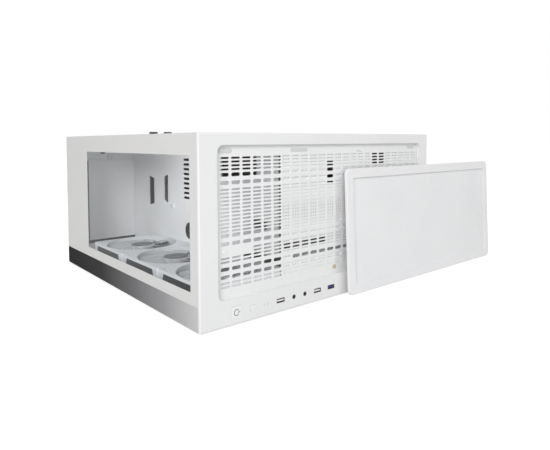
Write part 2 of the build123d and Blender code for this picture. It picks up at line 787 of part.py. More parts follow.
with BuildPart(CORNER) as rear_tab:
    half = tab_size[0] / 2
    cuboid((tab_spot[0] - half, tab_spot[0] + half), (rear_face - tab_thick, rear_face),
           (tab_spot[1] - tab_size[1] / 2, tab_spot[1] + tab_size[1] / 2))
    with Locations((tab_spot[0], rear_face - tab_thick / 2, tab_spot[1])):
        Cylinder(screw_radius, tab_thick, rotation=(90, 0, 0), mode=Mode.SUBTRACT)
save(rear_tab.part, "rear_tab")

with BuildPart(CORNER) as rear_thumbscrew:
    with Locations((thumb_at[0], rear_face - thumb_height / 2, thumb_at[2])):
        Cylinder(thumb_radius, thumb_height, rotation=(90, 0, 0))
    with Locations((thumb_at[0], rear_face, thumb_at[2])):
        Cylinder(screw_radius, sheet * 2, rotation=(90, 0, 0))
save(rear_thumbscrew.part, "rear_thumbscrew")

with BuildPart(CORNER) as card_covers:
    with BuildSketch(front_plane(rear_face - sheet)) as cover_plates:
        with Locations(*[(x, card_level) for x in card_mids]):
            Rectangle(card_width + card_lap * 2, card_height + card_lap * 2)
    extrude(amount=-sheet)
    for x in card_mids:
        half = card_width / 2 + card_lap
        top = card_level + card_height / 2 + card_lap
        cuboid((x - half, x + half), (rear_face - card_tab, rear_face), (top, top + sheet))
        with Locations((x, rear_face - card_tab / 2, top)):
            Cylinder(side_shank_radius + running_gap, sheet, align=(Align.CENTER, Align.CENTER, Align.MIN),
                     mode=Mode.SUBTRACT)
save(card_covers.part, "card_covers")

card_screw_level = card_level + card_height / 2 + card_lap + sheet
with BuildPart(CORNER) as card_screws:
    for x in card_mids:
        with Locations((x, rear_face - card_tab / 2, card_screw_level)):
            Cylinder(side_screw_radius, screw_head, align=(Align.CENTER, Align.CENTER, Align.MIN))
            Cylinder(side_shank_radius, screw_head * 2, align=(Align.CENTER, Align.CENTER, Align.CENTER))
save(card_screws.part, "card_screws")

# ---------------------------------------------------------------- right panel and top cover
with BuildPart(CORNER) as right_panel:
    with BuildSketch(side_plane(right_face)) as right_outline:
        window((panel_front, rear_inside), (foot_height, top_inside))
        with Locations(*[(y, screw_level) for y in side_screw_at]):
            Circle(side_screw_radius + running_gap, mode=Mode.SUBTRACT)
        with Locations(side_vent_mid):
            with GridLocations(slot_pitch * 2, small_pitch * 2, side_vent_columns, side_vent_rows):
                SlotOverall(slot_length * 2, large_slot, mode=Mode.SUBTRACT)
    extrude(amount=sheet)
save(right_panel.part, "right_panel")

with BuildPart(CORNER) as side_screws:
    for y in side_screw_at:
        with Locations((right_face, y, screw_level)):
            Cylinder(side_screw_radius, sheet, rotation=(0, 90, 0),
                     align=(Align.CENTER, Align.CENTER, Align.MIN))
            Cylinder(side_shank_radius, screw_head * 2, rotation=(0, -90, 0),
                     align=(Align.CENTER, Align.CENTER, Align.MIN))
save(side_screws.part, "side_screws")

cover_left = return_left - seam
lip_level = (inner_top - cover_lip, inner_top)
with BuildPart(CORNER) as top_cover:
    cuboid((cover_left, case_width), (panel_front, case_depth), (inner_top, case_height))
    left_lip = side_frame_at + sheet + slip
    side_lip_span = (frame_front + slip, rear_face - flange_depth - slip)
    cuboid((left_lip, left_lip + sheet), side_lip_span, lip_level)
    cuboid((return_right - slip - sheet, return_right - slip), side_lip_span, lip_level)
    cuboid((left_lip, return_right - slip), (frame_front + slip, frame_front + slip + sheet), lip_level)
    with Locations(*[(x, y, inner_top) for x, y in knob_at]):
        Cylinder(knob_screw_radius + slip, sheet, align=(Align.CENTER, Align.CENTER, Align.MIN),
                 mode=Mode.SUBTRACT)
save(top_cover.part, "top_cover")

with BuildPart(CORNER) as cover_knobs:
    for x, y in knob_at:
        with Locations((x, y, case_height)):
            Cylinder(knob_radius, knob_height, align=(Align.CENTER, Align.CENTER, Align.MIN))
            Cylinder(knob_screw_radius, knob_screw_length, rotation=(180, 0, 0),
                     align=(Align.CENTER, Align.CENTER, Align.MIN))
    chamfer(cover_knobs.faces().group_by(Axis.Z)[-1].edges(), knob_radius / 8)
save(cover_knobs.part, "cover_knobs")

# ---------------------------------------------------------------- drive cage and trays
bay_lefts = [bay_left + bay_pitch * bay for bay in range(bay_count)]
cage_right = bay_left + bay_pitch * bay_count
bay_rear = bay_front + tray_depth + slip * 2
with BuildPart(CORNER) as drive_cage:
    cuboid((bay_left, cage_right + sheet), (bay_front - sheet, bay_rear + sheet),
           (cage_floor, cage_floor + sheet))
    for x in bay_lefts + [cage_right]:
        cuboid((x, x + sheet), (bay_front - sheet, bay_rear + sheet), (inner_bottom, bay_wall_top))
    for y in (bay_front - sheet, bay_rear):
        cuboid((bay_left, cage_right + sheet), (y, y + sheet), (cage_floor, bay_wall_top))
save(drive_cage.part, "drive_cage")

board_level = cage_floor + sheet
socket_height = board_thick * 5
with BuildPart(CORNER) as backplane:
    for x in bay_lefts:
        low = (x + sheet + slip, x + bay_pitch - slip)
        cuboid(low, (bay_front + slip, bay_front + backplane_depth), (board_level, board_level + board_thick))
        middle = x + (bay_pitch + sheet) / 2
        cuboid((middle - socket_size[0] / 2, middle + socket_size[0] / 2),
               (bay_front + socket_from_front, bay_front + socket_from_front + socket_size[1]),
               (board_level, board_level + socket_height))
save(backplane.part, "backplane")

tray_floor = board_level + socket_height + slip
for number, x in enumerate(bay_lefts, start=1):
    with BuildPart(CORNER) as drive_tray:
        xs = (x + sheet + slip, x + bay_pitch - slip)
        ys = (bay_front + slip, bay_front + slip + tray_depth)
        zs = (tray_floor, tray_floor + tray_height)
        cuboid(xs, ys, zs)
        cuboid((xs[0] + tray_wall, xs[1]), (ys[0] + tray_wall, ys[1] - tray_wall), (zs[0] + tray_wall, zs[1]),
               mode=Mode.SUBTRACT)
        cuboid((xs[0] + tray_wall, xs[1]),
               (ys[0] + socket_from_front - slip, ys[0] + socket_from_front + socket_size[1]),
               (zs[0], zs[0] + tray_wall), mode=Mode.SUBTRACT)
        with BuildSketch(side_plane(xs[0])) as drive_holes:
            with Locations(((ys[0] + ys[1]) / 2, zs[0] + drive_hole_mid)):
                with GridLocations(*drive_hole_pitch, 2, 2):
                    Circle(drive_hole_radius)
        extrude(amount=tray_wall, mode=Mode.SUBTRACT)
        grip_mid = (ys[0] + ys[1]) / 2
        cuboid((xs[0], xs[0] + grip_reach), (grip_mid - grip_length / 2, grip_mid + grip_length / 2),
               (zs[1] - tray_wall, zs[1]))
    save(drive_tray.part, f"drive_tray_{number}")

# ---------------------------------------------------------------- mainboard posts
posts_rear = rear_face - board_rear_gap
with BuildPart(CORNER) as board_standoffs:
    for x in (board_standoff_left, board_standoff_left + board_standoff_pitch[0]):
        for y in (posts_rear - board_standoff_pitch[1], posts_rear):
            with Locations((x, y, inner_bottom)):
                Cylinder(standoff_radius, standoff_height, align=(Align.CENTER, Align.CENTER, Align.MIN))
                Cylinder(standoff_bore, standoff_height, align=(Align.CENTER, Align.CENTER, Align.MIN),
                         mode=Mode.SUBTRACT)
save(board_standoffs.part, "board_standoffs")

# ---------------------------------------------------------------- dust filter
lean = math.radians(filter_lean)
lean_normal = Vector(0, -math.cos(lean), math.sin(lean))
filter_foot_line = corner + Vector(filter_left, -filter_foot, 0)


def filter_plane(out=0):
    """The leaning plane of the filter's rear face, moved outwards: x right, y up."""
    return Plane(origin=filter_foot_line + lean_normal * out, x_dir=(1, 0, 0), z_dir=lean_normal)


filter_mid = (filter_width / 2, filter_height / 2)
opening_size = (filter_width - filter_border * 2, filter_height - filter_border * 2)
with BuildPart() as filter_frame:
    with BuildSketch(filter_plane()) as filter_outline:
        with Locations(filter_mid):
            RectangleRounded(filter_width, filter_height, recess_corner - slip)
    extrude(amount=filter_thick)
    front_edges = filter_frame.faces().sort_by(Axis.Y)[0].edges()
    fillet(front_edges, filter_round)
    with BuildSketch(filter_plane()) as filter_opening:
        with Locations(filter_mid):
            RectangleRounded(*opening_size, filter_round * 2)
    extrude(amount=filter_thick, mode=Mode.SUBTRACT)
    with BuildSketch(filter_plane()) as mesh_rabbet:
        with Locations(filter_mid):
            Rectangle(opening_size[0] + mesh_lap * 2, opening_size[1] + mesh_lap * 2)
    extrude(amount=mesh_level + filter_mesh_thick, mode=Mode.SUBTRACT)
    with BuildSketch(filter_plane()) as magnet_seats:
        with Locations(filter_mid):
            with GridLocations(filter_width - filter_border, filter_height - filter_border, 2, 2):
                Circle(filter_magnet_radius + running_gap)
    extrude(amount=filter_magnet_thick, mode=Mode.SUBTRACT)
save(filter_frame.part, "filter_frame")

with BuildPart() as filter_mesh:
    with BuildSketch(filter_plane(mesh_level)) as mesh_outline:
        with Locations(filter_mid):
            Rectangle(opening_size[0] + mesh_lap * 2 - seam, opening_size[1] + mesh_lap * 2 - seam)
    extrude(amount=filter_mesh_thick)
save(filter_mesh.part, "filter_mesh")

with BuildPart() as filter_magnets:
    with BuildSketch(filter_plane()) as magnet_discs:
        with Locations(filter_mid):
            with GridLocations(filter_width - filter_border, filter_height - filter_border, 2, 2):
                Circle(filter_magnet_radius)
    extrude(amount=filter_magnet_thick)
save(filter_magnets.part, "filter_magnets")
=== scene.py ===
# %% [markdown]
# # A glazed storage enclosure with its dust filter off
# The box is folded sheet steel with a fine powder coat. Its left side is a sheet of glass with
# a printed border, its front is a slotted grille, and the dust filter leans on the front.
# The steel and the mouldings come from the CAD frame, which also sets every position. This
# script gives them their finishes, makes the curved pieces that plain solids can't give, and
# sets up the light and the camera.

# %% Load the frame
import json
import math
import bpy
import numpy as np
from mathutils import Matrix, Vector


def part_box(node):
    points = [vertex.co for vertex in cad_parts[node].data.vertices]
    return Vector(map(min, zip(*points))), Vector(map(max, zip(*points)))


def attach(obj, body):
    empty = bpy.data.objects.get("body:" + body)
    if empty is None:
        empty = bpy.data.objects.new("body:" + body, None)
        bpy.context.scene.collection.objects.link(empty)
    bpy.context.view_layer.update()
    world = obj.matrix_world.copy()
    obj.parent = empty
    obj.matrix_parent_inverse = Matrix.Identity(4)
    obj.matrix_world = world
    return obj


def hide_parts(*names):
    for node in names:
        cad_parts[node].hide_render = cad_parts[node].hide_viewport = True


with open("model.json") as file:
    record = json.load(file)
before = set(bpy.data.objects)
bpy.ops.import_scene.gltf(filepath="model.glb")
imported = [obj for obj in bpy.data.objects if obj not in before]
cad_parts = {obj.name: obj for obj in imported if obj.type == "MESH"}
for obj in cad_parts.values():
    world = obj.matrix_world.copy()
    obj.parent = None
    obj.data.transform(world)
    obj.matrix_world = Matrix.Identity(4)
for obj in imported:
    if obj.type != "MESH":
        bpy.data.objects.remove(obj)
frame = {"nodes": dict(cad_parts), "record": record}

scene = bpy.context.scene
nodes = frame["nodes"]
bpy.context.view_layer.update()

# %% [markdown]
# ## The camera
# A product shot from just under the height of the box's top, so that the top is edge on and
# both upright sides show. The direction is written as a turn from straight ahead and a
# small tilt down. The lens sits low on the sensor, as with a shift lens, which keeps
# the upright edges nearly parallel.

# %% Camera
TURN = 0.7024       # radians to the right of +Y
TILT = 0.0394       # radians down
ROLL = -0.0047
EYE = (-0.5185, -0.7358, 0.2247)
ahead = Vector((math.sin(TURN) * math.cos(TILT), math.cos(TURN) * math.cos(TILT), -math.sin(TILT)))
level_right = Vector((math.cos(TURN), -math.sin(TURN), 0))
level_up = level_right.cross(ahead)
right = level_right * math.cos(ROLL) + level_up * math.sin(ROLL)
up = level_up * math.cos(ROLL) - level_right * math.sin(ROLL)
lens = bpy.data.cameras.new("product_camera")
lens.sensor_width = 36.0
lens.lens = 32.75
lens.shift_x = -0.0162
lens.shift_y = -0.1156
lens.clip_end = 50.0
camera = bpy.data.objects.new("product_camera", lens)
facing = Matrix((right, up, -ahead)).transposed().to_4x4()
camera.matrix_world = Matrix.Translation(EYE) @ facing
scene.collection.objects.link(camera)
scene.camera = camera
print("camera at", [round(c, 3) for c in camera.location])

# %% [markdown]
# ## Small tools for nodes
# The light and every finish are short chains of nodes. These helpers add a node and set what
# isn't linked, so that each chain below reads as a list of what it is made of.

# %% Node helpers


def add(tree, kind, **settings):
    """Adds one node. A setting is a property of the node, or else an input of that name."""
    made = tree.nodes.new("ShaderNode" + kind)
    for name, value in settings.items():
        if hasattr(made, name):
            setattr(made, name, value)
        else:
            made.inputs[name.replace("_", " ")].default_value = value
    return made


def chain(tree, *links):
    """Each link is (from node, its output, to node, its input)."""
    for source, output, target, socket in links:
        tree.links.new(source.outputs[output], target.inputs[socket])


def rgb(red, green, blue):
    """A colour with full alpha."""
    return (red, green, blue, 1.0)


def shown_rays(tree):
    """A node that gives 1 to rays from the camera, and to those it sends on by gloss or glass, and else 0."""
    rays = add(tree, "LightPath")
    direct = add(tree, "Math", operation="MAXIMUM")
    any_way = add(tree, "Math", operation="MAXIMUM")
    chain(tree, (rays, "Is Camera Ray", direct, 0), (rays, "Is Glossy Ray", direct, 1),
          (direct, 0, any_way, 0), (rays, "Is Transmission Ray", any_way, 1))
    return any_way


def bare_material(name):
    """A material with an empty node tree."""
    made = bpy.data.materials.new(name)
    made.use_nodes = True
    made.node_tree.nodes.clear()
    return made, made.node_tree


def begin_group(name, inputs, outputs):
    """A shader node group with its sockets: each is (name, kind, value)."""
    tree = bpy.data.node_groups.new(name, "ShaderNodeTree")
    for label, kind, value in inputs:
        socket = tree.interface.new_socket(label, in_out="INPUT", socket_type="NodeSocket" + kind)
        if value is not None:
            socket.default_value = value
    for label, kind in outputs:
        tree.interface.new_socket(label, in_out="OUTPUT", socket_type="NodeSocket" + kind)
    return tree, tree.nodes.new("NodeGroupInput"), tree.nodes.new("NodeGroupOutput")


# %% [markdown]
# ## Light
# White goods need an even light that still tells one face from the next. The world gives the
# even part. A broad lamp at the front left lights both upright sides and reaches through the
# glass onto the fans and the rear wall. A second one at the front right lets the leaning filter
# throw a soft shadow to its left. Two small lamps inside the case raise the light in the
# chamber and under the fans. All four are fixed in the room and follow no body. Rays that go
# straight to the camera, or there by way of gloss or glass, see a plain white backdrop.

# %% World and lamps
WORLD_LEVEL = 0.54      # the world's light on the box, against the white that the camera sees
scene.view_settings.view_transform = "Standard"
world = bpy.data.worlds.new("studio")
scene.world = world
world.use_nodes = True
sky = world.node_tree
sky.nodes.clear()
level = add(sky, "MapRange", To_Min=WORLD_LEVEL)
white_air = add(sky, "Background", Color=rgb(1, 1, 1))
out = add(sky, "OutputWorld")
chain(sky, (shown_rays(sky), 0, level, "Value"), (level, "Result", white_air, "Strength"),
      (white_air, 0, out, "Surface"))


def softbox(name, place, aim, size, power):
    """A square lamp at place that faces aim."""
    data = bpy.data.lights.new(name, "AREA")
    data.size = size
    data.energy = power
    lamp = bpy.data.objects.new(name, data)
    lamp.location = place
    lamp.rotation_euler = (Vector(aim) - Vector(place)).to_track_quat("-Z", "Y").to_euler()
    scene.collection.objects.link(lamp)


# name, place, aim, size in metres, watts
softbox("left_softbox", (-1.5, -1.15, 0.85), (-0.15, 0.0, 0.1), 0.8, 20)
softbox("right_softbox", (1.3, -1.9, 1.3), (0.1, -0.2, 0.1), 0.8, 10)
softbox("chamber_fill", (-0.18, 0.0, 0.182), (0.05, 0.16, 0.16), 0.09, 0.036)
softbox("tray_fill", (-0.15, -0.20, 0.026), (-0.10, 0.10, 0.03), 0.02, 0.02)

# %% [markdown]
# ## One surface effect for coats and mouldings
# Powder coat, moulded plastic and rubber share a build: a tint that drifts very slightly over a
# hand's width, a roughness that drifts with it, and a fine pebble that catches the light.
# They differ in size and depth, so one node group serves them all.

# %% Pebbled surface group
pebbled, g_in, g_out = begin_group(
    "Pebbled surface",
    (("Point", "Vector", None), ("Tint", "Color", rgb(0.8, 0.8, 0.8)), ("Drift", "Float", 0.02),
     ("Pebble per metre", "Float", 2000.0), ("Depth", "Float", 0.1),
     ("Smoothest", "Float", 0.4), ("Roughest", "Float", 0.5)),
    (("Color", "Color"), ("Roughness", "Float"), ("Normal", "Vector")))
patches = add(pebbled, "TexNoise", Scale=14.0, Detail=3.0)
swing = add(pebbled, "MapRange", From_Min=0.3, From_Max=0.7, To_Min=-1.0)
amount = add(pebbled, "Math", operation="MULTIPLY_ADD")
amount.inputs[2].default_value = 1.0
toned = add(pebbled, "VectorMath", operation="SCALE")
gloss = add(pebbled, "MapRange", From_Min=0.3, From_Max=0.7)
grains = add(pebbled, "TexNoise", Detail=1.0)
relief = add(pebbled, "Bump", Distance=0.0001)
chain(pebbled,
      (g_in, "Point", patches, "Vector"), (patches, "Fac", swing, "Value"),
      (swing, "Result", amount, 0), (g_in, "Drift", amount, 1),
      (g_in, "Tint", toned, 0), (amount, 0, toned, "Scale"), (toned, 0, g_out, "Color"),
      (patches, "Fac", gloss, "Value"), (g_in, "Smoothest", gloss, "To Min"),
      (g_in, "Roughest", gloss, "To Max"), (gloss, "Result", g_out, "Roughness"),
      (g_in, "Point", grains, "Vector"), (g_in, "Pebble per metre", grains, "Scale"),
      (grains, "Fac", relief, "Height"), (g_in, "Depth", relief, "Strength"),
      (relief, "Normal", g_out, "Normal"))
print("group", pebbled.name, "with", len(pebbled.nodes), "nodes")


# %% Coats, mouldings and rubber from the group


def begin_material(name):
    """An empty material, its Principled shader and its object coordinates."""
    made, tree = bare_material(name)
    shader = add(tree, "BsdfPrincipled")
    end = add(tree, "OutputMaterial")
    place = add(tree, "TexCoord")
    tree.links.new(shader.outputs[0], end.inputs["Surface"])
    return made, tree, shader, place


def coated(name, tint, pebble, depth, smooth, rough, drift=0.015, coat=0.0, specular=0.5):
    """A coated or moulded finish: tint, pebble size in metres, its depth and its roughness range."""
    made, tree, shader, place = begin_material(name)
    skin = add(tree, "Group", node_tree=pebbled)
    skin.inputs["Tint"].default_value = tint
    skin.inputs["Drift"].default_value = drift
    skin.inputs["Pebble per metre"].default_value = 1 / pebble
    skin.inputs["Depth"].default_value = depth
    skin.inputs["Smoothest"].default_value = smooth
    skin.inputs["Roughest"].default_value = rough
    shader.inputs["Coat Weight"].default_value = coat
    shader.inputs["Specular IOR Level"].default_value = specular
    chain(tree, (place, "Object", skin, "Point"), (skin, "Color", shader, "Base Color"),
          (skin, "Roughness", shader, "Roughness"), (skin, "Normal", shader, "Normal"))
    return made


finish = {
    "white_shell": coated("satin_white_coat", rgb(0.765, 0.768, 0.772), 0.0006, 0.25, 0.42, 0.52),
    "white_steel": coated("grille_white_coat", rgb(0.78, 0.783, 0.787), 0.0006, 0.25, 0.45, 0.55),
    "inside_steel": coated("inside_white_coat", rgb(0.84, 0.842, 0.855), 0.0008, 0.3, 0.5, 0.6),
    "white_plastic": coated("filter_white_moulding", rgb(0.79, 0.79, 0.80), 0.0012, 0.15, 0.35, 0.45),
    "fan_plastic": coated("fan_white_moulding", rgb(0.75, 0.76, 0.78), 0.0009, 0.12, 0.3, 0.42),
    # Blades and hubs are the same white moulding as the fan frames; their darker tint is painted shade for
    # their place deep in the duct.
    "blade_white": coated("blade_moulding_painted_shade", rgb(0.50, 0.51, 0.53), 0.0009, 0.12, 0.3, 0.42),
    "dark_plastic": coated("dark_moulding", rgb(0.045, 0.047, 0.05), 0.0009, 0.3, 0.4, 0.55, 0.1),
    "black_rubber": coated("black_rubber", rgb(0.025, 0.025, 0.026), 0.0007, 0.5, 0.7, 0.85, 0.1),
    "black_steel": coated("black_coat", rgb(0.03, 0.03, 0.032), 0.0006, 0.35, 0.35, 0.5, 0.08),
    "port_white": coated("port_tongue_white", rgb(0.78, 0.78, 0.78), 0.0008, 0.1, 0.35, 0.45),
    "port_blue": coated("port_tongue_blue", rgb(0.03, 0.045, 0.19), 0.0008, 0.1, 0.35, 0.45),
    "plate_grey": coated("grey_plate", rgb(0.60, 0.605, 0.61), 0.0008, 0.1, 0.4, 0.5, 0.04),
    "hub_grey": coated("hub_label_grey", rgb(0.15, 0.153, 0.157), 0.0008, 0.1, 0.4, 0.5, 0.04),
    "lens_clear": coated("milky_lens", rgb(0.70, 0.71, 0.73), 0.001, 0.05, 0.15, 0.25, coat=0.4),
}
print(len(finish), "coated and moulded finishes")

# %% [markdown]
# ## Plated metal
# Screws, tabs and posts are plated steel. The plating keeps the faint lines of the sheet or the
# bar that it is on, so its roughness and its relief come from a noise stretched along one
# direction.

# %% Plated metal
plated, g_in, g_out = begin_group(
    "Drawn lines",
    (("Point", "Vector", None), ("Smoothest", "Float", 0.25), ("Roughest", "Float", 0.45),
     ("Depth", "Float", 0.15)),
    (("Roughness", "Float"), ("Normal", "Vector"), ("Streak", "Float")))
stretch = add(plated, "Mapping")
stretch.inputs["Scale"].default_value = (60.0, 2600.0, 2600.0)
streaks = add(plated, "TexNoise", Scale=1.0, Detail=2.0)
dulled = add(plated, "MapRange", From_Min=0.3, From_Max=0.7)
scratch = add(plated, "Bump", Distance=0.0001)
chain(plated, (g_in, "Point", stretch, "Vector"), (stretch, "Vector", streaks, "Vector"),
      (streaks, "Fac", dulled, "Value"), (g_in, "Smoothest", dulled, "To Min"),
      (g_in, "Roughest", dulled, "To Max"), (dulled, "Result", g_out, "Roughness"),
      (streaks, "Fac", scratch, "Height"), (g_in, "Depth", scratch, "Strength"),
      (scratch, "Normal", g_out, "Normal"), (streaks, "Fac", g_out, "Streak"))


def metal(name, light, dark, smooth, rough):
    """A plated metal between two tints, with drawn lines."""
    made, tree, shader, place = begin_material(name)
    lines = add(tree, "Group", node_tree=plated)
    lines.inputs["Smoothest"].default_value = smooth
    lines.inputs["Roughest"].default_value = rough
    tone = add(tree, "Mix", data_type="RGBA")
    colour_in = [s for s in tone.inputs if s.type == "RGBA"]
    colour_in[0].default_value = dark
    colour_in[1].default_value = light
    colour_out = next(s for s in tone.outputs if s.type == "RGBA")
    shader.inputs["Metallic"].default_value = 1.0
    chain(tree, (place, "Object", lines, "Point"), (lines, "Streak", tone, 0),
          (lines, "Roughness", shader, "Roughness"), (lines, "Normal", shader, "Normal"))
    tree.links.new(colour_out, shader.inputs["Base Color"])
    return made


finish["plain_steel"] = metal("zinc_plate", rgb(0.72, 0.72, 0.74), rgb(0.58, 0.58, 0.60), 0.25, 0.45)
finish["brass_steel"] = metal("yellow_plate", rgb(0.62, 0.55, 0.36), rgb(0.45, 0.39, 0.22), 0.25, 0.4)
finish["port_steel"] = metal("nickel_shell", rgb(0.30, 0.30, 0.28), rgb(0.18, 0.18, 0.17), 0.25, 0.4)
finish["magnet"] = metal("magnet_plate", rgb(0.75, 0.75, 0.76), rgb(0.65, 0.65, 0.66), 0.1, 0.2)
print("metals:", [finish[k].name for k in ("plain_steel", "brass_steel", "port_steel", "magnet")])

# %% [markdown]
# ## Gloss strip, printed border, foam and board
# The strip below the glass is a glossy smoked moulding. Its colour is a painted reflection,
# near black at the rear and paler towards the front corner, so it follows its length. The border of the glass
# is a ceramic
# print: dead smooth, a little warm. The gasket is foam, so its relief comes from cells, and
# the boards carry copper tracks under a green mask.

# %% Strip, print, foam and board
strip, tree, shader, place = begin_material("smoked_strip_painted_reflection")
parts = add(tree, "SeparateXYZ")
# The ramp along the strip is a painted reflection: near black at the rear, paler towards the front corner.
along = add(tree, "MapRange", From_Min=0.235, From_Max=-0.234)
painted_reflection_ramp = add(tree, "ValToRGB")
stops = painted_reflection_ramp.color_ramp.elements
stops[0].color = rgb(0.012, 0.012, 0.011)
stops[1].color = rgb(0.55, 0.55, 0.55)
for where, grey in ((0.35, 0.045), (0.62, 0.17), (0.82, 0.32)):
    stop = stops.new(where)
    stop.color = rgb(grey, grey, grey * 1.03)
wipe = add(tree, "TexNoise", Scale=30.0, Detail=2.0)
gloss = add(tree, "MapRange", From_Min=0.3, From_Max=0.7, To_Min=0.12, To_Max=0.2)
shader.inputs["Specular IOR Level"].default_value = 0.004
chain(tree, (place, "Object", parts, 0), (parts, "Y", along, "Value"), (along, "Result", painted_reflection_ramp, 0),
      (painted_reflection_ramp, "Color", shader, "Base Color"), (place, "Object", wipe, "Vector"),
      (wipe, "Fac", gloss, "Value"), (gloss, "Result", shader, "Roughness"))
finish["skirt_gloss"] = strip
finish["glass_print"] = coated("ceramic_print", rgb(0.625, 0.622, 0.615), 0.004, 0.02, 0.3, 0.4,
                               specular=0.35)

foam, tree, shader, place = begin_material("closed_cell_foam")
cells = add(tree, "TexVoronoi", Scale=1400.0)
tone = add(tree, "MapRange", To_Min=0.02, To_Max=0.05)
pits = add(tree, "Bump", Distance=0.0003, Strength=0.6)
shader.inputs["Roughness"].default_value = 0.95
chain(tree, (place, "Object", cells, "Vector"), (cells, "Distance", tone, "Value"),
      (tone, "Result", shader, "Base Color"), (cells, "Distance", pits, "Height"),
      (pits, "Normal", shader, "Normal"))
finish["foam"] = foam

board, tree, shader, place = begin_material("green_board")
tracks = add(tree, "TexVoronoi", feature="DISTANCE_TO_EDGE", Scale=260.0)
on_track = add(tree, "MapRange", From_Min=0.02, From_Max=0.05)
mask = add(tree, "ValToRGB")
mask.color_ramp.elements[0].color = rgb(0.03, 0.14, 0.06)
mask.color_ramp.elements[1].color = rgb(0.015, 0.07, 0.035)
shader.inputs["Roughness"].default_value = 0.35
chain(tree, (place, "Object", tracks, "Vector"), (tracks, "Distance", on_track, "Value"),
      (on_track, "Result", mask, 0), (mask, "Color", shader, "Base Color"))
finish["board_green"] = board
print("finishes so far:", len(finish))

# %% [markdown]
# ## Glass that lets the light in
# A solid glass shader would keep most of the light out of the chamber in a short render, since
# its shadow needs caustics. The pane is flat and thin, so it can be a clear see-through
# surface with a faint mirror on top, stronger at a glancing angle.

# %% Window pane
pane, tree = bare_material("clear_pane")
clear = add(tree, "BsdfTransparent", Color=rgb(0.982, 0.988, 0.988))
mirror = add(tree, "BsdfGlossy", Color=rgb(1, 1, 1), Roughness=0.02)
glance = add(tree, "Fresnel", IOR=1.16)
side_seen = add(tree, "NewGeometry")
outer_only = add(tree, "Math", operation="SUBTRACT")
outer_only.inputs[0].default_value = 1.0
outside_glance = add(tree, "Math", operation="MULTIPLY")
layered = add(tree, "MixShader")
end = add(tree, "OutputMaterial")
chain(tree, (side_seen, "Backfacing", outer_only, 1), (glance, 0, outside_glance, 0),
      (outer_only, 0, outside_glance, 1), (outside_glance, 0, layered, 0), (clear, 0, layered, 1),
      (mirror, 0, layered, 2), (layered, 0, end, "Surface"))
finish["glass_clear"] = pane
print("pane made of", [n.name for n in tree.nodes])

# %% [markdown]
# ## The filter's fabric
# The dust filter is a fine nylon mesh. Two sets of threads cross at right angles, so each
# set is a wave across the panel, and a hole is where both waves are low. The threads pass light
# through as well as back, which is what makes the panel glow softly.

# %% Woven nylon
weave, g_in, g_out = begin_group(
    "Woven threads",
    (("Point", "Vector", None), ("Threads per metre", "Float", 1400.0), ("Cover", "Float", 0.8)),
    (("Thread", "Float"), ("Height", "Float")))
split = add(weave, "SeparateXYZ")
chain(weave, (g_in, "Point", split, 0))
waves = []
for axis in ("X", "Z"):
    phase = add(weave, "Math", operation="MULTIPLY")
    count = add(weave, "Math", operation="MULTIPLY")
    count.inputs[1].default_value = 2 * math.pi
    wave = add(weave, "Math", operation="SINE")
    chain(weave, (g_in, "Threads per metre", count, 0), (split, axis, phase, 0), (count, 0, phase, 1),
          (phase, 0, wave, 0))
    waves.append(wave)
upper = add(weave, "Math", operation="MAXIMUM")
cover = add(weave, "MapRange", From_Min=-0.9, From_Max=0.2)
closed = add(weave, "Math", operation="MAXIMUM")
chain(weave, (waves[0], 0, upper, 0), (waves[1], 0, upper, 1), (upper, 0, g_out, "Height"),
      (upper, 0, cover, "Value"), (cover, "Result", closed, 0), (g_in, "Cover", closed, 1),
      (closed, 0, g_out, "Thread"))

fabric, tree, shader, place = begin_material("nylon_mesh")
threads = add(tree, "Group", node_tree=weave)
threads.inputs["Cover"].default_value = 0.80
raised = add(tree, "Bump", Distance=0.0002, Strength=0.25)
cloudy = add(tree, "TexNoise", Scale=9.0, Detail=2.0)
shade = add(tree, "ValToRGB")
for stop, tint, where in zip(shade.color_ramp.elements,
                             (rgb(0.84, 0.85, 0.855), rgb(0.88, 0.885, 0.89)), (0.3, 0.7)):
    stop.color = tint
    stop.position = where
shader.inputs["Roughness"].default_value = 0.7
chain(tree, (place, "Object", threads, "Point"), (threads, "Height", raised, "Height"),
      (raised, "Normal", shader, "Normal"), (place, "Object", cloudy, "Vector"), (cloudy, "Fac", shade, 0),
      (shade, "Color", shader, "Base Color"), (threads, "Thread", shader, "Alpha"))
finish["mesh_white"] = fabric

# %% [markdown]
# ## The perforated screen behind the grille
# A sheet full of small holes sits right behind the slots. Cutting thousands of holes would
# make a heavy mesh, so the holes are a mask: the distance to the nearest point of a square
# lattice. Where it is small, the sheet is dark, as the unlit space behind it is.

# %% Perforated sheet
screen, tree, shader, place = begin_material("perforated_white_coat")
HOLE_PITCH = 0.0042
HOLE_RADIUS = 0.00085
HOLE_TONE = 0.30    # of the sheet's own tint
lattice = add(tree, "VectorMath", operation="WRAP")
lattice.inputs[1].default_value = (HOLE_PITCH / 2, 1.0, HOLE_PITCH / 2)
lattice.inputs[2].default_value = (-HOLE_PITCH / 2, -1.0, -HOLE_PITCH / 2)
flat = add(tree, "VectorMath", operation="MULTIPLY")
flat.inputs[1].default_value = (1.0, 0.0, 1.0)
reach_out = add(tree, "VectorMath", operation="LENGTH")
solid = add(tree, "MapRange", From_Min=HOLE_RADIUS * 0.9, From_Max=HOLE_RADIUS * 1.1, To_Min=HOLE_TONE)
darkened = add(tree, "VectorMath", operation="SCALE")
skin = add(tree, "Group", node_tree=pebbled)
skin.inputs["Tint"].default_value = rgb(0.82, 0.825, 0.83)
chain(tree, (place, "Object", lattice, 0), (lattice, 0, flat, 0), (flat, 0, reach_out, 0),
      (reach_out, "Value", solid, "Value"), (place, "Object", skin, "Point"),
      (skin, "Color", darkened, 0), (solid, "Result", darkened, "Scale"),
      (darkened, 0, shader, "Base Color"),
      (skin, "Roughness", shader, "Roughness"), (skin, "Normal", shader, "Normal"))
finish["screen_white"] = screen
print("holes every", HOLE_PITCH * 1000, "mm")

